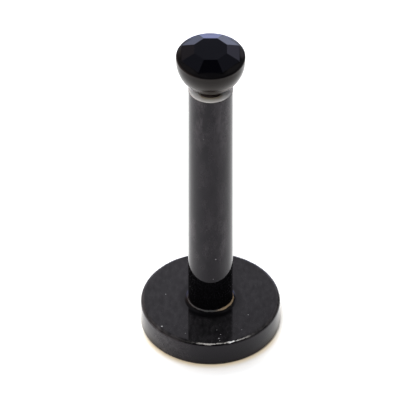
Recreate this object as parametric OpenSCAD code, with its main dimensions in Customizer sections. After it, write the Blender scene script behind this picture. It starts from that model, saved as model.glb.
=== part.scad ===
// Labret stud: a flat back disc, a post and a removable ball head with a faceted crystal.
// Millimetres. The origin is the centre of the disc's underside and +Z runs along the post to the head.

/* [Back disc] */
// Diameter of the disc
disc_d = 5; // [4:0.1:8]
// Thickness of the disc
disc_t = 1; // [0.6:0.05:1.6]
// Rounding of the disc's upper edge
disc_top_round = 0.13; // [0.02:0.01:0.3]
// Rounding of the disc's lower edge
disc_bottom_round = 0.1; // [0.02:0.01:0.25]

/* [Post] */
// Diameter of the post
post_d = 1.6; // [1.4:0.05:2.5]
// Wearing length, from the disc to the end of the post
post_length = 10; // [5:0.5:16]
// Radius of the weld that runs round the foot of the post
weld_round = 0.15; // [0.05:0.01:0.3]
// Rounding of the outer edge at the end of the post
post_end_round = 0.05; // [0.02:0.01:0.08]
// Width and depth of the countersink in the end of the post
mouth_chamfer = 0.17; // [0.05:0.01:0.22]

/* [Pin and neck] */
// Diameter of the neck between ball and post
neck_d = 0.72; // [0.6:0.01:0.8]
// How far the neck goes into the end of the post
neck_depth = 0.3; // [0.25:0.05:1]
// Diameter of the pin below the neck
pin_d = 0.5; // [0.3:0.01:0.55]
// Length of the pin below the neck
pin_length = 3; // [1.5:0.1:3.5]
// Clearance round and under the neck and the pin
pin_clearance = 0.015; // [0.01:0.005:0.03]
// Empty bore beyond the tip of the pin
bore_tail = 0.3; // [0.1:0.05:1]

/* [Ball cup] */
// Diameter of the ball
ball_d = 2.48; // [2.3:0.02:5]
// Gap between the ball's underside and the end of the post
ball_gap = 0.07; // [0.05:0.01:0.3]
// Height of the cup's lip above the middle of the ball
lip_rise = 0.25; // [0.2:0.01:0.3]
// Rounding of the outer edge of the lip
lip_round = 0.12; // [0.05:0.01:0.2]

/* [Crystal] */
// Number of sides of the crystal
crystal_sides = 8; // [6:1:12]
// Width of the crystal's girdle, flat to flat
girdle_w = 2.06; // [1.6:0.02:2.1]
// Height of the girdle's upright sides
girdle_h = 0.13; // [0.05:0.01:0.2]
// How far the girdle's upper edge stands above the lip
crystal_proud = 0.05; // [0:0.01:0.1]
// Width of the table, flat to flat
table_w = 1.16; // [0.7:0.01:1.3]
// Tilt of the crown's facets from the level
crown_tilt = 24.6; // [15:0.2:35]
// Tilt of the pavilion's facets from the level
pavilion_tilt = 35; // [25:1:40]
// Width of the small flat at the crystal's lower end, flat to flat
culet_w = 0.5; // [0.2:0.05:0.7]
// Gap between the crystal and the pocket that it is set in
setting_gap = 0.01; // [0.005:0.005:0.03]

/* [Hidden] */
$fn = 96;

// Levels along the stud
post_end = disc_t + post_length;
seat_level = post_end - neck_depth;
pin_tip = seat_level - pin_length;
bore_end = pin_tip - bore_tail;
ball_middle = post_end + ball_gap + ball_d / 2;
lip_level = ball_middle + lip_rise;
girdle_top = lip_level + crystal_proud;
girdle_bottom = girdle_top - girdle_h;

// Heights of the crystal's crown and pavilion
crown_h = (girdle_w - table_w) / 2 * tan(crown_tilt);
pavilion_h = (girdle_w - culet_w) / 2 * tan(pavilion_tilt);

// Radii of the holes in the post
neck_bore_r = neck_d / 2 + pin_clearance;
pin_bore_r = pin_d / 2 + pin_clearance;
mouth_r = neck_bore_r + mouth_chamfer;

// How far a cutter runs past the surface that it cuts
overrun = 1;

// Half section of a round bar from one level to another, with its two outer corners rounded
module bar_section(radius, low, high, low_round, high_round) {
    translate([0, low + low_round])
        square([radius, high - low - low_round - high_round]);
    if (low_round > 0) {
        translate([0, low])
            square([radius - low_round, low_round]);
        translate([radius - low_round, low + low_round])
            circle(low_round);
    }
    if (high_round > 0) {
        translate([0, high - high_round])
            square([radius - high_round, high_round]);
        translate([radius - high_round, high - high_round])
            circle(high_round);
    }
}

// Half section of the hollow fillet that the weld leaves between disc and post
module weld_section() {
    difference() {
        translate([0, disc_t])
            square([post_d / 2 + weld_round, weld_round]);
        translate([post_d / 2 + weld_round, disc_t + weld_round])
            circle(weld_round);
    }
}

// Half section of the stepped hole that takes the head's neck and pin
module bore_section() {
    polygon([
        [0, bore_end],
        [pin_bore_r, bore_end],
        [pin_bore_r, seat_level - pin_clearance],
        [neck_bore_r, seat_level - pin_clearance],
        [neck_bore_r, post_end - mouth_chamfer],
        [mouth_r, post_end],
        [mouth_r, post_end + overrun],
        [0, post_end + overrun]
    ]);
}

// One of the flat cuts of a stone: what lies outside a plane that leans in by tilt above a level edge
module facet_cut(edge_distance, edge_level, tilt, size) {
    translate([edge_distance, 0, edge_level])
        rotate([0, tilt, 0])
            translate([-size, -size, 0])
                cube([2 * size, 2 * size, size]);
}

// The crystal's girdle and pavilion, grown all round by the gap that its pocket needs
module lower_stone(grow, top) {
    half = girdle_w / 2 + grow;
    low = girdle_bottom - pavilion_h - grow;
    // The pavilion's planes move outward by grow, measured square to each plane
    edge_level = girdle_bottom - grow * tan(pavilion_tilt / 2);
    difference() {
        translate([0, 0, low])
            rotate(180 / crystal_sides)
                cylinder(r = half / cos(180 / crystal_sides), h = top - low, $fn = crystal_sides);
        for (side = [0 : crystal_sides - 1])
            rotate(360 / crystal_sides * side)
                mirror([0, 0, 1])
                    facet_cut(half, -edge_level, pavilion_tilt, girdle_w);
    }
}

module post_and_disc() {
    color([0.13, 0.13, 0.14])
        rotate_extrude()
            difference() {
                union() {
                    bar_section(disc_d / 2, 0, disc_t, disc_bottom_round, disc_top_round);
                    bar_section(post_d / 2, disc_t / 2, post_end, 0, post_end_round);
                    weld_section();
                }
                bore_section();
            }
}

module ball_cup() {
    color([0.1, 0.1, 0.11])
        difference() {
            rotate_extrude() {
                bar_section(ball_d / 2, ball_middle, lip_level, 0, lip_round);
                intersection() {
                    translate([0, ball_middle])
                        circle(ball_d / 2);
                    translate([0, ball_middle - ball_d])
                        square([ball_d, ball_d]);
                }
                translate([0, seat_level])
                    square([neck_d / 2, ball_middle - seat_level]);
                translate([0, pin_tip])
                    square([pin_d / 2, ball_middle - pin_tip]);
            }
            lower_stone(setting_gap, lip_level + overrun);
        }
}

module crystal() {
    color([0.04, 0.04, 0.05])
        difference() {
            lower_stone(0, girdle_top + crown_h);
            for (side = [0 : crystal_sides - 1])
                rotate(360 / crystal_sides * side)
                    facet_cut(girdle_w / 2, girdle_top, crown_tilt, girdle_w);
        }
}

post_and_disc();
ball_cup();
crystal();
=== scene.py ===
import math

import bmesh
import bpy
from mathutils import Matrix
from mathutils import Vector


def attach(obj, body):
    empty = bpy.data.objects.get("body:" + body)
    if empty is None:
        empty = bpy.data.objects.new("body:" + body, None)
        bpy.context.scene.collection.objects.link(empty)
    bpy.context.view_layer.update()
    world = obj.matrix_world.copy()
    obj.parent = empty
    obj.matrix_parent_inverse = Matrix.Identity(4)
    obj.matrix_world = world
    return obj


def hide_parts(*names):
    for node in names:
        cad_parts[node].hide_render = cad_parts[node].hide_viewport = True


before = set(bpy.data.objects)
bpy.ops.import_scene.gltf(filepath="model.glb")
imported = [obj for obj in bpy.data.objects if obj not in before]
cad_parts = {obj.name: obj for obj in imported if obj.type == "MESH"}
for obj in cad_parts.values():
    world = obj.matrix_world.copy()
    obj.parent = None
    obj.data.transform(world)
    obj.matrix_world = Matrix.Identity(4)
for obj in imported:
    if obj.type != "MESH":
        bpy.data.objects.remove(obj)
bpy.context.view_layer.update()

# The camera stands in front of the stud and looks down at it, from far off through a long lens, so
# that the post's sides stay upright in the picture.
MM = 0.001
CAMERA_TILT = math.radians(41.5)
CAMERA_AWAY = 554.5 * MM
LOOKED_AT = Vector((-0.375, 0, 5.688)) * MM

lens = bpy.data.cameras.new("front_camera")
lens.sensor_width = 36
lens.lens = 1400
lens.clip_start = 0.01
lens.clip_end = 5
camera = bpy.data.objects.new("front_camera", lens)
camera.rotation_euler = (math.pi / 2 - CAMERA_TILT, 0, 0)
towards_camera = Vector((0, -math.cos(CAMERA_TILT), math.sin(CAMERA_TILT)))
camera.location = LOOKED_AT + CAMERA_AWAY * towards_camera
bpy.context.collection.objects.link(camera)
bpy.context.scene.camera = camera
bpy.context.scene.view_settings.view_transform = "Standard"


# The floor is a small white display board that the stud stands on. It is matt, and lit until it is
# almost pure white. Close round the disc it is painted paler, a painted light that lifts the disc's soft
# shadow, and along the disc's edge, most of all in front, it is painted a faint warm shade.
BOARD_HALF = 32
BOARD_SQUARES = 8
BOARD_DROP = 0.004
BOARD_ROUGHNESS = 0.9
BOARD_GLOSS = 0.1
BOARD_LOW_TONE = (0.86, 0.86, 0.86, 1)
BOARD_HIGH_TONE = (0.89, 0.89, 0.89, 1)
BOARD_LIFTED_TONE = (0.99, 0.98, 0.96, 1)
BOARD_WARM_SHADE_TONE = (0.82, 0.69, 0.5, 1)
PAINTED_LIGHT_BY_RADIUS = (2.74, 3.0, 1.0, 0.0)
WARM_SHADE_BY_RADIUS = (2.47, 2.72, 1.0, 0.0)
WARM_SHADE_BY_DEPTH = (-1.5, -0.3, 1.0, 0.15)


def node_in(tree, kind, places, **settings):
    """Adds a node. Each place is one of its inputs, with the number, colour or socket that goes in."""
    node = tree.nodes.new(kind)
    for name, value in settings.items():
        setattr(node, name, value)
    for place, value in places.items():
        if isinstance(value, bpy.types.NodeSocket):
            tree.links.new(value, node.inputs[place])
        else:
            node.inputs[place].default_value = value
    return node


def worked_out(tree, operation, *values):
    return node_in(tree, "ShaderNodeMath", dict(enumerate(values)), operation=operation).outputs[0]


def multiplied(tree, first, *others):
    product = first
    for other in others:
        product = worked_out(tree, "MULTIPLY", product, other)
    return product


def eased(tree, value, low, high, out_low=0.0, out_high=1.0):
    """Runs smoothly from out_low to out_high while the value goes from low to high.

    A named easing, such as WARM_SHADE_BY_RADIUS, holds these numbers in this order.
    """
    places = {"Value": value, "From Min": low, "From Max": high, "To Min": out_low, "To Max": out_high}
    node = node_in(tree, "ShaderNodeMapRange", places, interpolation_type="SMOOTHSTEP")
    return node.outputs["Result"]


def blended(tree, share, low, high, blend_type="MIX"):
    """Mixes two colours, which are inputs 6 and 7 of a Mix node. Output 2 is the mixed colour."""
    places = {0: share, 6: low, 7: high}
    return node_in(tree, "ShaderNodeMix", places, data_type="RGBA", blend_type=blend_type).outputs[2]


def in_millimetres(tree):
    place = node_in(tree, "ShaderNodeTexCoord", {})
    scaled = node_in(
        tree, "ShaderNodeVectorMath", {0: place.outputs["Object"], "Scale": 1 / MM}, operation="SCALE",
    )
    return scaled.outputs["Vector"]


def axes_of(tree, place):
    return node_in(tree, "ShaderNodeSeparateXYZ", {0: place}).outputs


def radius_of(tree, axes):
    """How far a place is from the stud's axis."""
    across = node_in(tree, "ShaderNodeCombineXYZ", {0: axes["X"], 1: axes["Y"]})
    length = node_in(tree, "ShaderNodeVectorMath", {0: across.outputs[0]}, operation="LENGTH")
    return length.outputs["Value"]


def emptied_tree(block):
    """Gives a material or a world nodes of its own, and takes out the ones that it starts with."""
    block.use_nodes = True
    block.node_tree.nodes.clear()
    return block.node_tree


def new_material(name):
    material = bpy.data.materials.new(name)
    tree = emptied_tree(material)
    shader = tree.nodes.new("ShaderNodeBsdfPrincipled")
    node_in(tree, "ShaderNodeOutputMaterial", {"Surface": shader.outputs[0]})
    return material, tree, shader


def matt_white_board():
    material, tree, shader = new_material("matt_white_board")
    place = in_millimetres(tree)
    axes = axes_of(tree, place)
    radius = radius_of(tree, axes)
    fibre = node_in(tree, "ShaderNodeTexNoise", {"Vector": place, "Scale": 1.8, "Detail": 4.0})
    tone = blended(tree, fibre.outputs["Fac"], BOARD_LOW_TONE, BOARD_HIGH_TONE)
    # Painted light: the board is paler close round the disc, lifting the disc's soft shadow.
    tone = blended(tree, eased(tree, radius, *PAINTED_LIGHT_BY_RADIUS), tone, BOARD_LIFTED_TONE)
    # Painted shade: a faint warm shade along the disc's edge, most of all in front.
    shade_in_front = eased(tree, axes["Y"], *WARM_SHADE_BY_DEPTH)
    warm_shade = multiplied(tree, eased(tree, radius, *WARM_SHADE_BY_RADIUS), shade_in_front)
    tone = blended(tree, warm_shade, tone, BOARD_WARM_SHADE_TONE)
    tree.links.new(tone, shader.inputs["Base Color"])
    shader.inputs["Roughness"].default_value = BOARD_ROUGHNESS
    shader.inputs["Specular IOR Level"].default_value = BOARD_GLOSS
    return material


def finished_object(name, work, material):
    mesh = bpy.data.meshes.new(name)
    work.to_mesh(mesh)
    work.free()
    mesh.materials.append(material)
    piece = bpy.data.objects.new(name, mesh)
    bpy.context.collection.objects.link(piece)
    return piece


work = bmesh.new()
bmesh.ops.create_grid(
    work, x_segments=BOARD_SQUARES, y_segments=BOARD_SQUARES, size=BOARD_HALF * MM,
)
bmesh.ops.translate(work, verts=work.verts, vec=(0, 0, -BOARD_DROP * MM))
floor = finished_object("floor", work, matt_white_board())


# The light is soft. A small lamp hangs close behind the stud and a larger one fills in from far off
# in front. A pale card glows behind it for the black surfaces to mirror, and the studio is dim.
LAMPS = (
    ("rear_lamp", (-6, 28, 49), 42, 0.043),
    ("front_fill", (-30, -140, 216), 110, 0.585),
)

for name, place, size, watts in LAMPS:
    shine = bpy.data.lights.new(name, "AREA")
    shine.size = size * MM
    shine.energy = watts
    lamp = bpy.data.objects.new(name, shine)
    lamp.location = Vector(place) * MM
    lamp.rotation_euler = Vector(place).to_track_quat("Z", "Y").to_euler()
    lamp.visible_glossy = False
    lamp.visible_camera = False
    bpy.context.collection.objects.link(lamp)

CARD_AWAY = 30
CARD_HALF = 30
CARD_LIFT = 26
CARD_SQUARES = 4
CARD_TONES_TOP = 60
CARD_SHINE = 1.2
CARD_BY_LEVEL = (
    (0, (0.95, 1.03, 1.64)), (10, (0.95, 1.03, 1.6)), (14, (0.92, 0.98, 1.2)),
    (20, (0.85, 0.85, 0.85)), (27, (0.58, 0.58, 0.58)), (33, (0.36, 0.36, 0.36)),
    (39, (0.2, 0.2, 0.2)), (52, (0.05, 0.05, 0.05)),
)
CARD_BY_SIDE = (
    (-28, (0.44, 0.31, 0.26)), (-20, (0.56, 0.49, 0.47)), (-8, (0.78, 0.78, 0.8)), (0, (1.0, 1.0, 1.06)),
    (8, (1.2, 1.2, 1.2)), (14, (0.75, 0.75, 0.8)), (20, (0.2, 0.2, 0.21)), (26, (0.04, 0.04, 0.04)),
)
CARD_GLOWS = (
    ((-4, 27), 9, (0.32, 0.32, 0.32)),
    ((21, 32), 12, (0.5, 0.48, 0.56)),
)
GLOW_CORE = 0.2


def run_of_tones(tree, value, low, high, tones):
    """A colour ramp over the values from low to high, with a tone at each listed value."""
    ramp = node_in(tree, "ShaderNodeValToRGB", {})
    share = node_in(tree, "ShaderNodeMapRange", {"Value": value, "From Min": low, "From Max": high})
    tree.links.new(share.outputs["Result"], ramp.inputs["Fac"])
    marks = ramp.color_ramp.elements
    while len(marks) < len(tones):
        marks.new(0.5)
    for mark, (at, tone) in zip(marks, tones):
        mark.position = (at - low) / (high - low)
        mark.color = (*tone, 1)
    return ramp.outputs["Color"]


def glowing_card():
    material = bpy.data.materials.new("glowing_card")
    tree = emptied_tree(material)
    place = in_millimetres(tree)
    axes = axes_of(tree, place)
    by_level = run_of_tones(tree, axes["Z"], 0, CARD_TONES_TOP, CARD_BY_LEVEL)
    by_side = run_of_tones(tree, axes["X"], -CARD_HALF, CARD_HALF, CARD_BY_SIDE)
    tone = blended(tree, 1.0, by_level, by_side, "MULTIPLY")
    for (side, level), reach, glow in CARD_GLOWS:
        away = node_in(
            tree, "ShaderNodeVectorMath", {0: place, 1: (side, CARD_AWAY, level)}, operation="DISTANCE",
        )
        near = eased(tree, away.outputs["Value"], reach * GLOW_CORE, reach, 1.0, 0.0)
        tone = blended(tree, near, tone, blended(tree, 1.0, tone, (*glow, 1), "ADD"))
    shine = node_in(tree, "ShaderNodeEmission", {"Color": tone, "Strength": CARD_SHINE})
    node_in(tree, "ShaderNodeOutputMaterial", {"Surface": shine.outputs[0]})
    return material


work = bmesh.new()
bmesh.ops.create_grid(work, x_segments=CARD_SQUARES, y_segments=CARD_SQUARES, size=CARD_HALF * MM)
bmesh.ops.rotate(work, verts=work.verts, matrix=Matrix.Rotation(math.pi / 2, 3, "X"))
bmesh.ops.translate(work, verts=work.verts, vec=(0, CARD_AWAY * MM, CARD_LIFT * MM))
card = finished_object("back_card", work, glowing_card())
card.visible_camera = False
card.visible_diffuse = False
card.visible_shadow = False

STUDIO_BY_HEIGHT = (
    (-1, (0.9, 0.9, 0.9)), (-0.06, (0.9, 0.9, 0.9)), (0.0, (0.06, 0.06, 0.06)),
    (0.4, (0.1, 0.1, 0.1)), (0.7, (0.24, 0.24, 0.24)), (0.9, (0.22, 0.22, 0.22)), (0.985, (0, 0, 0)),
)
STUDIO_BY_DEPTH = (-0.45, 0.0, 0.3, 1.0)
STUDIO_LEFT_GLOW = (0.5, 0.33, 0.26, 1)
GLOW_BY_SIDE = (-0.92, -0.5, 1.0, 0.0)
GLOW_BY_HEIGHT = (0.1, 0.6, 1.0, 0.0)
STUDIO_SEEN = (1, 1, 1, 1)


def dim_studio():
    """The studio round the stud, as its surfaces mirror it. Seen straight on, it is plain white."""
    studio = bpy.data.worlds.new("dim_studio")
    tree = emptied_tree(studio)
    towards = node_in(tree, "ShaderNodeTexCoord", {})
    axes = axes_of(tree, towards.outputs["Generated"])
    tone = run_of_tones(tree, axes["Z"], -1, 1, STUDIO_BY_HEIGHT)
    tone = blended(tree, 1.0, tone, eased(tree, axes["Y"], *STUDIO_BY_DEPTH), "MULTIPLY")
    low = eased(tree, worked_out(tree, "ABSOLUTE", axes["Z"]), *GLOW_BY_HEIGHT)
    glow = multiplied(tree, eased(tree, axes["X"], *GLOW_BY_SIDE), low)
    tone = blended(tree, glow, tone, blended(tree, 1.0, tone, STUDIO_LEFT_GLOW, "ADD"))
    seen = node_in(tree, "ShaderNodeLightPath", {})
    tone = blended(tree, seen.outputs["Is Camera Ray"], tone, STUDIO_SEEN)
    air = node_in(tree, "ShaderNodeBackground", {"Color": tone})
    node_in(tree, "ShaderNodeOutputWorld", {"Surface": air.outputs[0]})
    return studio


bpy.context.scene.world = dim_studio()


# The post and its round back disc: one turned and welded piece of steel, coated glossy black. The
# post's end was trued after coating, so its ring is bare; the weld at its foot is bare too, and a
# painted highlight makes it golden on the right.
DISC_R, DISC_T = 2.5, 1.0
DISC_LOW_ROUND, DISC_HIGH_ROUND = 0.1, 0.13
POST_R, POST_END = 0.8, 11.0
WELD_ROUND, POST_END_ROUND = 0.15, 0.05
NECK_BORE_R, NECK_BORE_END = 0.375, 10.685
PIN_BORE_R, PIN_BORE_END = 0.265, 7.4
MOUTH_CHAMFER, MOUTH_ROUND, BORE_ROUND = 0.17, 0.012, 0.01
ROUNDING_STEPS = 10
SPIN_STEPS = 192
EDGE_MARGIN = 0.012
LONG_EDGE = 4 * EDGE_MARGIN
SAME_POINT = 0.0001
SHARP_ANGLE = math.radians(35)


def rounded_section(corners):
    """A half section in the XZ plane. Each corner is its radius, its level and its rounding."""
    work = bmesh.new()
    points = [work.verts.new((corner[0] * MM, 0, corner[1] * MM)) for corner in corners]
    for low, high in zip(points, points[1:]):
        work.edges.new((low, high))
    for point, corner in zip(points, corners):
        rounding = corner[2]
        if rounding:
            bmesh.ops.bevel(
                work, geom=[point], offset=rounding * MM, segments=ROUNDING_STEPS, profile=0.5,
                affect="VERTICES", material=-1,
            )
    return work


def spun_solid(work):
    """Turns a half section round the stud's axis, with a close loop at each end of every long edge."""
    margin = EDGE_MARGIN * MM
    for edge in list(work.edges):
        length = edge.calc_length()
        if length > LONG_EDGE * MM:
            start, end = edge.verts
            near_end = bmesh.utils.edge_split(edge, start, margin / length)[1]
            rest = next(side for side in near_end.link_edges if end in side.verts)
            bmesh.utils.edge_split(rest, end, margin / rest.calc_length())
    bmesh.ops.spin(
        work, geom=work.verts[:] + work.edges[:], cent=(0, 0, 0), axis=(0, 0, 1), dvec=(0, 0, 0),
        angle=2 * math.pi, steps=SPIN_STEPS, use_merge=True, use_duplicate=False,
    )
    bmesh.ops.remove_doubles(work, verts=work.verts, dist=SAME_POINT * MM)
    bmesh.ops.recalc_face_normals(work, faces=work.faces)


def smoothed_between_sharp_corners(work):
    for face in work.faces:
        face.smooth = True
    for edge in work.edges:
        if len(edge.link_faces) == 2 and edge.calc_face_angle(0) > SHARP_ANGLE:
            edge.smooth = False


# Handling marks, turning lines and soft rings are patterns for the stud's finishes. Each one is built
# once, and takes the place in millimetres.
SCRATCH_RUNS = (
    ((0, 0, 0.5), (1.2, 16, 16)),
    ((0.4, 0, 2.2), (1.0, 20, 20)),
)
SCRATCH_BY_NOISE = (0.0, 0.012, 1.0, 0.0)
SCRATCHED_BY_PATCH = (0.5, 0.62)
SPECKS_PER_MM = 4.0
RAGGED_GAIN = 4.0
LEAST_REACH = 0.0001
BAND_BY_REACH = (0.35, 1.0, 1.0, 0.0)


def new_group(name, numbers, outputs):
    """A shader node group that takes a place in millimetres and the named numbers."""
    group = bpy.data.node_groups.new(name, "ShaderNodeTree")
    group.interface.new_socket("Place", in_out="INPUT", socket_type="NodeSocketVector")
    for number, value in numbers:
        socket = group.interface.new_socket(number, in_out="INPUT", socket_type="NodeSocketFloat")
        socket.default_value = value
    for output in outputs:
        group.interface.new_socket(output, in_out="OUTPUT", socket_type="NodeSocketFloat")
    given = group.nodes.new("NodeGroupInput").outputs
    return group, given


def placed_group(tree, group, place, **numbers):
    return node_in(tree, "ShaderNodeGroup", {"Place": place, **numbers}, node_tree=group).outputs


def drawn_out_noise(tree, place, stretch, turn=(0, 0, 0), **texture):
    """Noise with its grains drawn out: the larger the stretch along an axis, the narrower they are."""
    turned = node_in(tree, "ShaderNodeMapping", {"Vector": place, "Rotation": turn, "Scale": stretch})
    noise = node_in(tree, "ShaderNodeTexNoise", {"Vector": turned.outputs[0], "Scale": 1.0, **texture})
    return noise.outputs["Fac"]


def handling_marks():
    """Faint patches, hairline scratches and specks of dust, as on any piece that has been handled."""
    group, given = new_group(
        "handling_marks",
        (("Patch_Size", 0.9), ("Speck_Size", 0.03), ("Speck_Share", 0.1)),
        ("Patches", "Scratches", "Specks"),
    )
    place = given["Place"]
    per_patch = worked_out(group, "DIVIDE", 1.0, given["Patch_Size"])
    patches = node_in(
        group, "ShaderNodeTexNoise",
        {"Vector": place, "Scale": per_patch, "Detail": 5.0, "Roughness": 0.6},
    )
    lines = []
    for turn, stretch in SCRATCH_RUNS:
        wave = drawn_out_noise(group, place, stretch, turn, Detail=1.0, Roughness=0.4)
        middle = worked_out(group, "SUBTRACT", wave, 0.5)
        lines.append(eased(group, worked_out(group, "ABSOLUTE", middle), *SCRATCH_BY_NOISE))
    here = eased(group, patches.outputs["Fac"], *SCRATCHED_BY_PATCH)
    scratches = multiplied(group, worked_out(group, "MAXIMUM", *lines), here)
    cells = node_in(group, "ShaderNodeTexVoronoi", {"Vector": place, "Scale": SPECKS_PER_MM})
    across = worked_out(group, "DIVIDE", cells.outputs["Distance"], SPECKS_PER_MM)
    near = worked_out(group, "LESS_THAN", across, given["Speck_Size"])
    chance = node_in(group, "ShaderNodeSeparateColor", {0: cells.outputs["Color"]})
    picked = worked_out(group, "LESS_THAN", chance.outputs[0], given["Speck_Share"])
    specks = multiplied(group, near, picked)
    node_in(
        group, "NodeGroupOutput",
        {"Patches": patches.outputs["Fac"], "Scratches": scratches, "Specks": specks},
    )
    return group


def place_in_section(tree, place):
    """A place's radius and level, as on a drawing of the stud's half section."""
    axes = axes_of(tree, place)
    return node_in(tree, "ShaderNodeCombineXYZ", {0: radius_of(tree, axes), 1: axes["Z"]}).outputs[0]


def turning_lines():
    """The fine rings that a lathe tool leaves round a turned surface."""
    group, given = new_group("turning_lines", (("Line_Width", 0.03),), ("Lines",))
    section = place_in_section(group, given["Place"])
    per_line = worked_out(group, "DIVIDE", 1.0, given["Line_Width"])
    rings = node_in(
        group, "ShaderNodeTexNoise",
        {"Vector": section, "Scale": per_line, "Detail": 1.0, "Roughness": 0.5},
    )
    node_in(group, "NodeGroupOutput", {"Lines": rings.outputs["Fac"]})
    return group


def ring_band():
    """A soft band round the stud: 1 on the ring of that radius and level, 0 beyond its reach."""
    group, given = new_group(
        "ring_band", (("Radius", 1.0), ("Level", 0.0), ("Reach", 0.05), ("Ragged", 0.3)), ("Band",),
    )
    place = given["Place"]
    ring = node_in(group, "ShaderNodeCombineXYZ", {0: given["Radius"], 1: given["Level"]})
    away = node_in(
        group, "ShaderNodeVectorMath", {0: place_in_section(group, place), 1: ring.outputs[0]},
        operation="DISTANCE",
    )
    grain = node_in(group, "ShaderNodeTexNoise", {"Vector": place, "Scale": 7.0, "Detail": 5.0})
    swing = worked_out(group, "SUBTRACT", grain.outputs["Fac"], 0.5)
    loss = multiplied(group, swing, RAGGED_GAIN, given["Ragged"])
    reach = multiplied(group, given["Reach"], worked_out(group, "SUBTRACT", 1.0, loss))
    reach = worked_out(group, "MAXIMUM", reach, LEAST_REACH)
    band = eased(group, worked_out(group, "DIVIDE", away.outputs["Value"], reach), *BAND_BY_REACH)
    node_in(group, "NodeGroupOutput", {"Band": band})
    return group


marks_group = handling_marks()
lines_group = turning_lines()
band_group = ring_band()


def spot(tree, place, middle, near, far):
    """1 within near of a middle point, and 0 beyond far."""
    away = node_in(tree, "ShaderNodeVectorMath", {0: place, 1: middle}, operation="DISTANCE")
    return eased(tree, away.outputs["Value"], near, far, 1.0, 0.0)


def with_more(tree, total, mask, amount):
    """Adds an amount to the total where the mask is 1, and less of it where the mask is weaker."""
    return worked_out(tree, "ADD", total, multiplied(tree, mask, amount))


def raised_by(tree, height, depth, normal=None):
    places = {"Height": height, "Distance": depth * MM, "Strength": 1.0}
    if normal is not None:
        places["Normal"] = normal
    return node_in(tree, "ShaderNodeBump", places).outputs["Normal"]


# The black coat of post and disc, which is smooth and mirrors like glass, and the marks of use on it.
COAT_BLACK = (0.0012, 0.0012, 0.0016, 1)
COAT_WORN = (0.0035, 0.0033, 0.0038, 1)
COAT_IOR = 1.316
COAT_SHEEN = (0.95, 0.89, 1.0, 1)
COAT_ROUGHNESS_BY_PATCH = (0.3, 0.75, 0.015, 0.045)
SCRATCH_ROUGHNESS = 0.04
SCRATCH_DEPTH = 0.0003
PATCH_HEIGHT = 0.0008
LINE_HEIGHT = 0.00012
DUST = (0.3, 0.3, 0.31, 1)
SPECKS_SHOWN = 0.7
SPECK_CORE = 0.4
BIG_SPECKS = (
    ((-1.74, -1.52, 1.0), 0.045), ((0.3, -2.17, 1.0), 0.032), ((0.19, -0.777, 3.54), 0.032),
    ((0.1, -0.794, 2.6), 0.022), ((-2.05, -1.3, 0.96), 0.028), ((0.36, -1.95, 1.0), 0.02),
    ((0.22, -1.72, 1.0), 0.018), ((0.33, -2.28, 1.0), 0.022), ((1.35, -0.9, 1.0), 0.022),
    ((1.12, -1.7, 1.0), 0.018), ((-0.9, -1.9, 1.0), 0.018), ((-1.6, 0.2, 1.0), 0.02),
)

# Handling leaves a film on the post, in drawn-out smears. It is thin behind, and there is none at the
# foot.
# It is also thinned along the middle of the front, a painted shade that darkens the mirrored floor
# there.
HANDLED_FILM = (0.044, 0.039, 0.043, 1)
SMEAR_STRETCH = (2.2, 2.2, 0.8)
SMEAR_BY_NOISE = (0.38, 0.68)
SMEAR_BY_LEVEL = (2.4, 4.0)
TOUCHED_HIGH = (8.2, 10.2, 0.35, 1.0)
TOUCHED_LOW = (4.6, 6.4, 0.8, 0.35)
SMEAR_BY_DEPTH = (-0.4, 0.1, 1.0, 0.4)
SHADE_STRIPE_MIDDLE = 0.05
SMEAR_OFF_SHADE_STRIPE = (0.0, 0.42, 0.4, 1.0)

# The weld is a thin bare ring round the foot, grey on the left; a painted highlight makes it wider and
# golden on the right.
WELD_HIGHLIGHT_GOLD = (0.5, 0.37, 0.23, 1)
WELD_GREY = (0.24, 0.24, 0.24, 1)
WELD_RING = (0.812, 1.095)
WELD_RAGGED = 0.4
WELD_HIGHLIGHT_BY_SIDE = (0.05, 0.55)
WELD_REACH_TO_HIGHLIGHT = (0.042, 0.062)
WELD_SHARE_TO_HIGHLIGHT = (0.28, 1.0)

# The disc's upper rim is bare steel along a stretch in front, partly rubbed wear and partly a painted
# highlight line, with a brighter painted glint on one short stretch.
RUBBED_HIGHLIGHT_STEEL = (0.6, 0.58, 0.56, 1)
PAINTED_GLINT_STEEL = (0.95, 0.95, 0.97, 1)
RIM_RING = (2.445, 0.978)
RIM_REACH, RIM_RAGGED = 0.03, 1.6
RIM_RUB_AND_HIGHLIGHT = ((0.48, -2.37, 0.97), 0.5, 1.3)
RIM_HIGHLIGHT_SHARE = (0.02, 0.56)
RIM_PAINTED_GLINT = ((0.81, -2.305, 0.98), 0.07, 0.24)

# The trued end of the post and the bore below it are bare steel. Its colour holds painted shade, darker
# in the bore and on the ring's inner part under the ball, and painted light, palest at the ring's two
# sides.
TRUED_STEEL = (0.76, 0.74, 0.71, 1)
SHADED_STEEL = (0.56, 0.49, 0.37, 1)
LIT_SIDE_STEEL = (0.97, 0.96, 0.95, 1)
BARE_METAL = 0.45
BARE_ROUGHNESS = 0.3
END_BY_LEVEL = (POST_END - 0.035, POST_END - 0.012)
BORE_BY_RADIUS = (0.55, 0.6, 1.0, 0.0)
BORE_BY_LEVEL = (7.0, 7.2)
UNSHADED_BY_RADIUS = (0.55, 0.74)
LIT_SIDES_BY_WIDTH = (0.28, 0.5, 0.0, 0.9)

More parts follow.
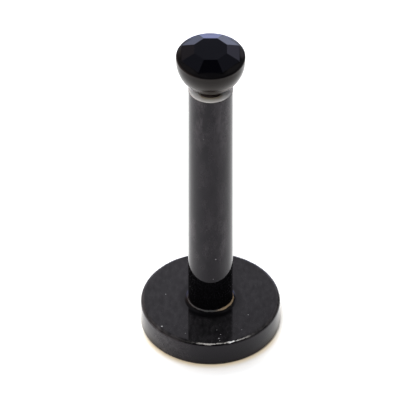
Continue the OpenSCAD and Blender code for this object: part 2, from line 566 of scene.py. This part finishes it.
# Dust leaves a streaky film on the disc: on its top, on the left of its wall, and on the rounding of
# its upper edge, left and right of the rubbed stretch. On the wall's left and on the rounding the film
# is also painted light, which makes the mirrored floor on the wall and the dark mirrored band on the
# rounding paler.
DUST_FILM = (0.0158, 0.0152, 0.0166, 1)
WALL_FILM_AND_LIGHT = (0.045, 0.04, 0.042, 1)
EDGE_FILM_AND_LIGHT = (0.047, 0.043, 0.044, 1)
STREAK_STRETCH = (6, 3, 6)
STREAK_BY_NOISE = (0.1, 1.0)
TOP_BY_RADIUS, TOP_BY_LEVEL = (1.0, 1.2), (0.985, 0.999)
WALL_BY_RADIUS, WALL_LIGHT_BY_SIDE = (2.46, 2.49), (-2.0, -0.1, 1.0, 0.0)
EDGE_BY_RADIUS, EDGE_BY_LEVEL = (2.36, 2.4), (0.89, 0.94)
EDGE_LIGHT_ON_LEFT, EDGE_LIGHT_ON_RIGHT = (-1.6, -0.7, 1.0, 0.0), (0.4, 1.3, 0.0, 0.6)
EDGE_BY_RUB = (0.0, 0.3, 1.0, 0.0)


def handling_film_and_shade_stripe(tree, place, axes):
    smears = drawn_out_noise(tree, place, SMEAR_STRETCH, Detail=5.0, Roughness=0.65)
    # Painted shade: the film thins along the middle of the front, leaving a darker stripe for a shadow
    # mirrored there.
    off_shade_stripe = worked_out(tree, "ABSOLUTE", worked_out(tree, "SUBTRACT", axes["X"], SHADE_STRIPE_MIDDLE))
    touched = worked_out(
        tree, "MAXIMUM", eased(tree, axes["Z"], *TOUCHED_HIGH), eased(tree, axes["Z"], *TOUCHED_LOW),
    )
    return multiplied(
        tree, eased(tree, smears, *SMEAR_BY_NOISE), eased(tree, axes["Z"], *SMEAR_BY_LEVEL), touched,
        eased(tree, axes["Y"], *SMEAR_BY_DEPTH), eased(tree, off_shade_stripe, *SMEAR_OFF_SHADE_STRIPE),
    )


def weld_with_highlight_at_foot(tree, place, axes):
    """The weld's share of the surface, and its tone, with a painted highlight that widens it and turns
    it golden on the right.
    """
    # Painted highlight: the weld grows wider, stronger and golden towards the right.
    highlit_side = eased(tree, axes["X"], *WELD_HIGHLIGHT_BY_SIDE)
    ring_r, ring_level = WELD_RING
    weld_and_highlight = placed_group(
        tree, band_group, place, Radius=ring_r, Level=ring_level,
        Reach=eased(tree, highlit_side, 0.0, 1.0, *WELD_REACH_TO_HIGHLIGHT), Ragged=WELD_RAGGED,
    )["Band"]
    share = multiplied(tree, weld_and_highlight, eased(tree, highlit_side, 0.0, 1.0, *WELD_SHARE_TO_HIGHLIGHT))
    return share, blended(tree, highlit_side, WELD_GREY, WELD_HIGHLIGHT_GOLD)


def worn_and_highlit_rim(tree, place):
    """Where the disc's rim is bare, as rubbed wear and as a painted highlight line, and where a painted
    glint sits.
    """
    ring_r, ring_level = RIM_RING
    rim = placed_group(
        tree, band_group, place, Radius=ring_r, Level=ring_level, Reach=RIM_REACH, Ragged=RIM_RAGGED,
    )["Band"]
    # Painted glint: a brighter spot on the rim; the rubbed stretch below is partly wear and partly a
    # painted highlight line.
    painted_glint = multiplied(tree, rim, spot(tree, place, *RIM_PAINTED_GLINT))
    rubbed_and_highlit = multiplied(tree, rim, eased(tree, spot(tree, place, *RIM_RUB_AND_HIGHLIGHT), 0.0, 1.0, *RIM_HIGHLIGHT_SHARE))
    return rubbed_and_highlit, painted_glint


def trued_end(tree, axes, radius):
    """The bare end's share of the surface, and its tone, with painted shade inside and painted light at
    the ring's sides.
    """
    end = eased(tree, axes["Z"], *END_BY_LEVEL)
    inside = multiplied(
        tree, eased(tree, radius, *BORE_BY_RADIUS), eased(tree, axes["Z"], *BORE_BY_LEVEL),
    )
    # Painted shade: the ring is darker inward, under the ball, and in the bore.
    tone = blended(tree, eased(tree, radius, *UNSHADED_BY_RADIUS), SHADED_STEEL, TRUED_STEEL)
    # Painted light: the ring is paler at its two sides.
    lit_sides = eased(tree, worked_out(tree, "ABSOLUTE", axes["X"]), *LIT_SIDES_BY_WIDTH)
    return worked_out(tree, "MAXIMUM", end, inside), blended(tree, lit_sides, tone, LIT_SIDE_STEEL)


def disc_dust_and_light(tree, color, place, axes, radius, rim):
    """Lays the films of dust over the disc's colour; on the wall's left and on the rounding they are
    partly painted light.
    """
    streaks = eased(tree, drawn_out_noise(tree, place, STREAK_STRETCH, Detail=4.0), *STREAK_BY_NOISE)
    on_top = multiplied(
        tree, eased(tree, radius, *TOP_BY_RADIUS), eased(tree, axes["Z"], *TOP_BY_LEVEL),
    )
    # Partly dust and partly painted light: paler on the wall's left and on the rounding beside the
    # rubbed stretch.
    wall_dust_and_light = multiplied(
        tree, eased(tree, radius, *WALL_BY_RADIUS), eased(tree, axes["X"], *WALL_LIGHT_BY_SIDE),
    )
    beside = worked_out(
        tree, "MAXIMUM", eased(tree, axes["X"], *EDGE_LIGHT_ON_LEFT), eased(tree, axes["X"], *EDGE_LIGHT_ON_RIGHT),
    )
    edge_dust_and_light = multiplied(
        tree, eased(tree, radius, *EDGE_BY_RADIUS), eased(tree, axes["Z"], *EDGE_BY_LEVEL),
        multiplied(tree, beside, eased(tree, rim, *EDGE_BY_RUB)),
    )
    for where, film in ((on_top, DUST_FILM), (wall_dust_and_light, WALL_FILM_AND_LIGHT), (edge_dust_and_light, EDGE_FILM_AND_LIGHT)):
        color = blended(tree, multiplied(tree, where, streaks), color, film)
    return color


def black_coated_post():
    material, tree, shader = new_material("black_coated_post")
    place = in_millimetres(tree)
    axes = axes_of(tree, place)
    radius = radius_of(tree, axes)
    marks = placed_group(tree, marks_group, place, Patch_Size=1.1, Speck_Size=0.013, Speck_Share=0.03)
    lines = placed_group(tree, lines_group, place, Line_Width=0.035)["Lines"]
    color = blended(tree, marks["Patches"], COAT_BLACK, COAT_WORN)
    # The handling film, thinned along the middle of the front as painted shade.
    color = blended(tree, handling_film_and_shade_stripe(tree, place, axes), color, HANDLED_FILM)
    # The bare weld ring, with its painted highlight on the right.
    weld_and_highlight, weld_highlight_tone = weld_with_highlight_at_foot(tree, place, axes)
    color = blended(tree, weld_and_highlight, color, weld_highlight_tone)
    rubbed_and_highlit, painted_glint = worn_and_highlit_rim(tree, place)
    # Bare rim: partly wear and partly a painted highlight line, then a painted glint.
    color = blended(tree, rubbed_and_highlit, color, RUBBED_HIGHLIGHT_STEEL)
    color = blended(tree, painted_glint, color, PAINTED_GLINT_STEEL)
    end, end_lit_and_shaded_tone = trued_end(tree, axes, radius)
    color = blended(tree, end, color, end_lit_and_shaded_tone)
    rim = worked_out(tree, "MAXIMUM", rubbed_and_highlit, painted_glint)
    color = disc_dust_and_light(tree, color, place, axes, radius, rim)
    specks = marks["Specks"]
    for middle, size in BIG_SPECKS:
        specks = worked_out(tree, "MAXIMUM", specks, spot(tree, place, middle, size * SPECK_CORE, size))
    color = blended(tree, multiplied(tree, specks, SPECKS_SHOWN), color, DUST)
    tree.links.new(color, shader.inputs["Base Color"])

    bare = worked_out(tree, "MAXIMUM", worked_out(tree, "MAXIMUM", rim, end), weld_and_highlight)
    tree.links.new(multiplied(tree, bare, BARE_METAL), shader.inputs["Metallic"])
    rough = eased(tree, marks["Patches"], *COAT_ROUGHNESS_BY_PATCH)
    rough = with_more(tree, rough, marks["Scratches"], SCRATCH_ROUGHNESS)
    rough = with_more(tree, rough, bare, BARE_ROUGHNESS)
    tree.links.new(rough, shader.inputs["Roughness"])
    normal = raised_by(tree, lines, LINE_HEIGHT)
    normal = raised_by(tree, marks["Patches"], PATCH_HEIGHT, normal)
    normal = raised_by(tree, marks["Scratches"], -SCRATCH_DEPTH, normal)
    tree.links.new(normal, shader.inputs["Normal"])
    shader.inputs["IOR"].default_value = COAT_IOR
    shader.inputs["Specular Tint"].default_value = COAT_SHEEN
    return material


work = rounded_section((
    (0, 0, 0),
    (DISC_R, 0, DISC_LOW_ROUND),
    (DISC_R, DISC_T, DISC_HIGH_ROUND),
    (POST_R, DISC_T, WELD_ROUND),
    (POST_R, POST_END, POST_END_ROUND),
    (NECK_BORE_R + MOUTH_CHAMFER, POST_END, MOUTH_ROUND),
    (NECK_BORE_R, POST_END - MOUTH_CHAMFER, BORE_ROUND),
    (NECK_BORE_R, NECK_BORE_END, 0),
    (PIN_BORE_R, NECK_BORE_END, 0),
    (PIN_BORE_R, PIN_BORE_END, 0),
    (0, PIN_BORE_END, 0),
))
spun_solid(work)
smoothed_between_sharp_corners(work)
post_with_disc = finished_object("post_with_disc", work, black_coated_post())
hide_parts("post_and_disc")
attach(post_with_disc, "root")


# The ball cup: the head's turned ball, and below it the short neck and the plain pin that push into
# the post. Steel in the same glossy black, with its lip burnished down towards the stone all round.
BALL_R, BALL_GAP = 1.24, 0.07
BALL_MIDDLE = POST_END + BALL_GAP + BALL_R
LIP_ARC_R, LIP_ARC_RISE = 0.125, 0.122
LIP_ARC_LEVEL = BALL_MIDDLE + LIP_ARC_RISE
LIP_SLOPE = math.radians(24.6)
PIN_GAP, BORE_TAIL = 0.015, 0.3
NECK_R, NECK_LOW, NECK_LOW_ROUND = NECK_BORE_R - PIN_GAP, NECK_BORE_END + PIN_GAP, 0.02
PIN_R, PIN_TIP, PIN_TIP_ROUND = PIN_BORE_R - PIN_GAP, PIN_BORE_END + BORE_TAIL, 0.04
BALL_STEPS, LIP_STEPS = 48, 12
SIDES = 8
POCKET_HALF = 1.04
POCKET_SHOULDER, POCKET_LOW, POCKET_FLOOR_HALF = 12.477, 11.924, 0.26
LIP_EDGE_ROUND = 0.005

# Its coat is duller on the ball's underside, and gone from the neck. The underside is also painted
# warmer, a painted warm reflection.
UNDERSIDE_WARM_REFLECTION = (0.012, 0.0065, 0.003, 1)
WARM_REFLECTION_BY_LEVEL = (11.6, 12.2, 1.0, 0.0)
NECK_STEEL = (0.16, 0.13, 0.12, 1)
NECK_BY_LEVEL = (11.09, 11.14, 1.0, 0.0)
NECK_METAL = 0.2
BALL_ROUGHNESS_BY_PATCH = (0.3, 0.75, 0.04, 0.1)
BALL_SCRATCH_ROUGHNESS = 0.08
UNDERSIDE_ROUGHNESS = 0.3
NECK_ROUGHNESS = 0.2
BALL_SPECKS_SHOWN = 0.6
BALL_IOR = 1.315
BALL_SHEEN = (1.0, 0.9, 0.84, 1)


def drawn_arc(work, middle_radius, middle_level, turn, steps):
    """Lengthens a section from its highest point, round a middle point, by the angle turn."""
    highest = max(work.verts, key=lambda point: point.co.z)
    bmesh.ops.spin(
        work, geom=[highest], cent=(middle_radius * MM, 0, middle_level * MM), axis=(0, -1, 0),
        dvec=(0, 0, 0), angle=turn, steps=steps, use_merge=False, use_duplicate=False,
    )


def eight_sided(point, half):
    """Moves a point straight in or out to an octagon that is twice half wide. Returns its radius."""
    angle = math.atan2(point.co.y, point.co.x)
    off_middle = (angle + math.pi / SIDES) % (2 * math.pi / SIDES) - math.pi / SIDES
    radius = half / math.cos(off_middle)
    point.co.x = radius * MM * math.cos(angle)
    point.co.y = radius * MM * math.sin(angle)
    return radius


def next_ring(work, ring):
    """Draws a ring of edges out into a wall. Returns the new ring's points and edges, still in place."""
    made = bmesh.ops.extrude_edge_only(work, edges=ring)["geom"]
    points = [part for part in made if isinstance(part, bmesh.types.BMVert)]
    edges = [part for part in made if isinstance(part, bmesh.types.BMEdge) and part.is_boundary]
    return points, edges


lip_arc_middle = BALL_R - LIP_ARC_R
lip_edge_r = lip_arc_middle + LIP_ARC_R * math.sin(LIP_SLOPE)
lip_edge_level = LIP_ARC_LEVEL + LIP_ARC_R * math.cos(LIP_SLOPE)


def lip_level_at(radius):
    return lip_edge_level + (lip_edge_r - radius) * math.tan(LIP_SLOPE)


def black_coated_cup():
    material, tree, shader = new_material("black_coated_cup")
    place = in_millimetres(tree)
    level = axes_of(tree, place)["Z"]
    marks = placed_group(tree, marks_group, place, Patch_Size=0.7, Speck_Size=0.012, Speck_Share=0.05)
    lines = placed_group(tree, lines_group, place, Line_Width=0.03)["Lines"]
    color = blended(tree, marks["Patches"], COAT_BLACK, COAT_WORN)
    # Painted warm reflection on the underside; the added roughness there is its real dullness.
    below = eased(tree, level, *WARM_REFLECTION_BY_LEVEL)
    color = blended(tree, below, color, UNDERSIDE_WARM_REFLECTION)
    bare = eased(tree, level, *NECK_BY_LEVEL)
    color = blended(tree, bare, color, NECK_STEEL)
    color = blended(tree, multiplied(tree, marks["Specks"], BALL_SPECKS_SHOWN), color, DUST)
    tree.links.new(color, shader.inputs["Base Color"])
    tree.links.new(multiplied(tree, bare, NECK_METAL), shader.inputs["Metallic"])
    rough = eased(tree, marks["Patches"], *BALL_ROUGHNESS_BY_PATCH)
    rough = with_more(tree, rough, marks["Scratches"], BALL_SCRATCH_ROUGHNESS)
    rough = with_more(tree, rough, below, UNDERSIDE_ROUGHNESS)
    rough = with_more(tree, rough, bare, NECK_ROUGHNESS)
    tree.links.new(rough, shader.inputs["Roughness"])
    normal = raised_by(tree, lines, LINE_HEIGHT)
    normal = raised_by(tree, marks["Scratches"], -SCRATCH_DEPTH, normal)
    tree.links.new(normal, shader.inputs["Normal"])
    shader.inputs["IOR"].default_value = BALL_IOR
    shader.inputs["Specular Tint"].default_value = BALL_SHEEN
    return material


neck_angle = math.acos(NECK_R / BALL_R)
work = rounded_section((
    (0, PIN_TIP, 0),
    (PIN_R, PIN_TIP, PIN_TIP_ROUND),
    (PIN_R, NECK_LOW, 0),
    (NECK_R, NECK_LOW, NECK_LOW_ROUND),
    (NECK_R, BALL_MIDDLE - BALL_R * math.sin(neck_angle), 0),
))
drawn_arc(work, 0, BALL_MIDDLE, neck_angle, BALL_STEPS)
highest = max(work.verts, key=lambda point: point.co.z)
raised = bmesh.ops.extrude_vert_indiv(work, verts=[highest])["verts"][0]
raised.co.z = LIP_ARC_LEVEL * MM
drawn_arc(work, lip_arc_middle, LIP_ARC_LEVEL, math.pi / 2 - LIP_SLOPE, LIP_STEPS)
spun_solid(work)

ring = [edge for edge in work.edges if edge.is_boundary]
for half, drop in ((POCKET_HALF + LIP_EDGE_ROUND, 0), (POCKET_HALF, LIP_EDGE_ROUND)):
    points, ring = next_ring(work, ring)
    for point in points:
        radius = eight_sided(point, half)
        point.co.z = (lip_level_at(radius) - drop) * MM
points, ring = next_ring(work, ring)
for point in points:
    point.co.z = POCKET_SHOULDER * MM
points, ring = next_ring(work, ring)
for point in points:
    eight_sided(point, POCKET_FLOOR_HALF)
    point.co.z = POCKET_LOW * MM
bmesh.ops.contextual_create(work, geom=ring)
bmesh.ops.recalc_face_normals(work, faces=work.faces)
smoothed_between_sharp_corners(work)
ball_cup = finished_object("ball_head_cup", work, black_coated_cup())
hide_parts("ball_cup")
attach(ball_cup, "root")


# The crystal: a black eight-sided stone, ground flat and polished. It has a wide table, eight crown
# facets, a thin girdle that the lip holds, and eight pavilion facets down in the pocket.
SETTING_GAP, GIRDLE_RISE, GIRDLE_HEIGHT = 0.01, 0.3, 0.13
GIRDLE_HALF = POCKET_HALF - SETTING_GAP
GIRDLE_TOP = BALL_MIDDLE + GIRDLE_RISE
GIRDLE_LOW = GIRDLE_TOP - GIRDLE_HEIGHT
TABLE_HALF, CULET_HALF = 0.58, 0.25
CROWN_TILT, PAVILION_TILT = LIP_SLOPE, math.radians(35)
FACET_EDGE = 0.004
CUT_TOUCHES = 0.00001
STONE_BLACK = (0.0008, 0.0008, 0.0014, 1)
STONE_SHEEN = (0.68, 0.71, 0.94, 1)
STONE_IOR = 1.42
STONE_ROUGHNESS_BY_PATCH = (0.35, 0.7, 0.015, 0.04)
STONE_SCRATCH_ROUGHNESS = 0.05
STONE_SPECKS_SHOWN = 0.5


def ground_facets(work, half, level, tilt, downwards):
    """Grinds a ring of facets that start at half from the axis, at a level, and lean in by tilt."""
    rise = -1 if downwards else 1
    for side in range(SIDES):
        turn = side * 2 * math.pi / SIDES
        outward = Vector((math.cos(turn), math.sin(turn), 0))
        cut = bmesh.ops.bisect_plane(
            work, geom=work.verts[:] + work.edges[:] + work.faces[:], dist=CUT_TOUCHES * MM,
            plane_co=outward * half * MM + Vector((0, 0, level * MM)),
            plane_no=outward * math.sin(tilt) + Vector((0, 0, rise * math.cos(tilt))),
            clear_outer=True,
        )
        rim = [part for part in cut["geom_cut"] if isinstance(part, bmesh.types.BMEdge)]
        bmesh.ops.contextual_create(work, geom=rim)


def polished_black_stone():
    material, tree, shader = new_material("polished_black_stone")
    place = in_millimetres(tree)
    marks = placed_group(tree, marks_group, place, Patch_Size=0.5, Speck_Size=0.01, Speck_Share=0.04)
    color = blended(tree, multiplied(tree, marks["Specks"], STONE_SPECKS_SHOWN), STONE_BLACK, DUST)
    tree.links.new(color, shader.inputs["Base Color"])
    rough = eased(tree, marks["Patches"], *STONE_ROUGHNESS_BY_PATCH)
    rough = with_more(tree, rough, marks["Scratches"], STONE_SCRATCH_ROUGHNESS)
    tree.links.new(rough, shader.inputs["Roughness"])
    tree.links.new(raised_by(tree, marks["Scratches"], -SCRATCH_DEPTH), shader.inputs["Normal"])
    shader.inputs["IOR"].default_value = STONE_IOR
    shader.inputs["Specular Tint"].default_value = STONE_SHEEN
    return material


crown_height = (GIRDLE_HALF - TABLE_HALF) * math.tan(CROWN_TILT)
pavilion_height = (GIRDLE_HALF - CULET_HALF) * math.tan(PAVILION_TILT)
stone_low = GIRDLE_LOW - pavilion_height
stone_high = GIRDLE_TOP + crown_height
corner_r = GIRDLE_HALF / math.cos(math.pi / SIDES) * MM
work = bmesh.new()
bmesh.ops.create_cone(
    work, cap_ends=True, cap_tris=False, segments=SIDES, radius1=corner_r, radius2=corner_r,
    depth=(stone_high - stone_low) * MM,
)
bmesh.ops.rotate(work, verts=work.verts, matrix=Matrix.Rotation(math.pi / SIDES, 3, "Z"))
bmesh.ops.translate(work, verts=work.verts, vec=(0, 0, (stone_high + stone_low) / 2 * MM))
ground_facets(work, GIRDLE_HALF, GIRDLE_TOP, CROWN_TILT, False)
ground_facets(work, GIRDLE_HALF, GIRDLE_LOW, PAVILION_TILT, True)
bmesh.ops.bevel(
    work, geom=work.edges[:], offset=FACET_EDGE * MM, segments=2, profile=0.5, affect="EDGES",
    material=-1,
)
bmesh.ops.recalc_face_normals(work, faces=work.faces)
crystal = finished_object("black_stone", work, polished_black_stone())
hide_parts("crystal")
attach(crystal, "root")
